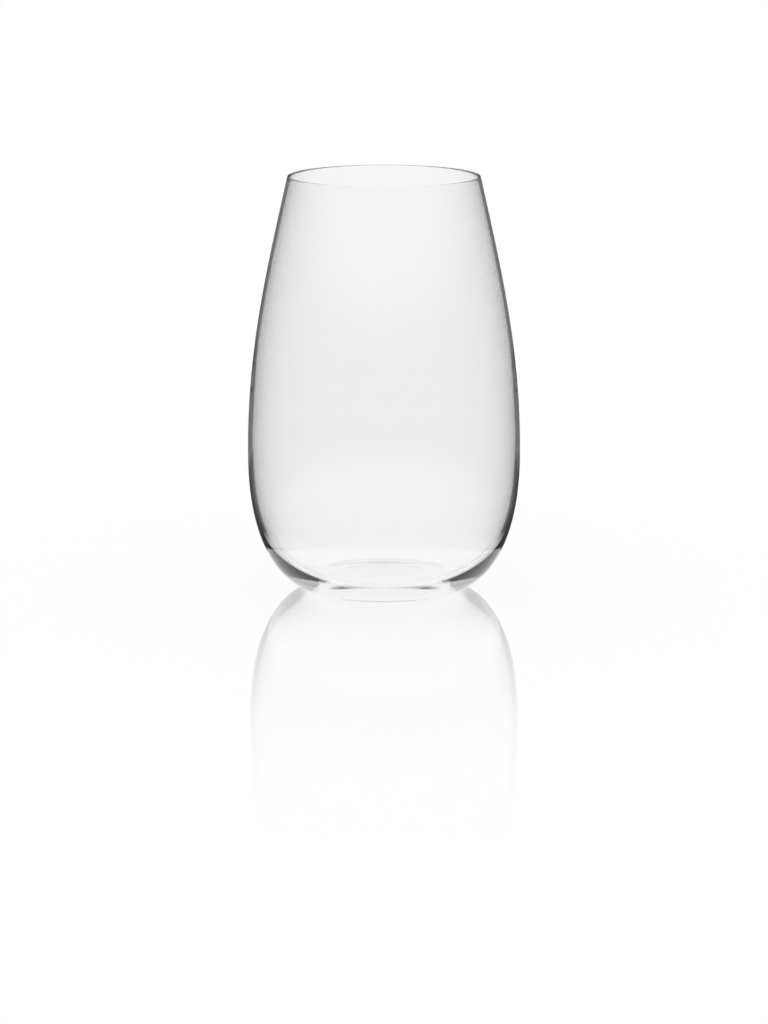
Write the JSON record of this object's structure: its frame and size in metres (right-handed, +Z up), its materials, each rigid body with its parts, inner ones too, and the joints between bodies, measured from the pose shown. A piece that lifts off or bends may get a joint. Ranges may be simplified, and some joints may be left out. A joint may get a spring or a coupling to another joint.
{
  "type": "juice tumbler",
  "caption": "Tall stemless tumbler of thin clear glass with a full low belly, a wall that narrows to a rounded lip, and a round bowl over a small flat foot, for juice and other cold drinks.",
  "frame": {"origin": "centre of the flat foot, on the surface that the tumbler stands on", "axes": "+Z up along the tumbler's axis of revolution, from the foot to the mouth; X and Y are alike"},
  "size_m": [0.08, 0.08, 0.122],
  "materials": {
    "clear_glass": "fire-polished, clear and smooth"
  },
  "bodies": {
    "root": {"glass_tumbler": "clear_glass"}
  },
  "joints": []
}
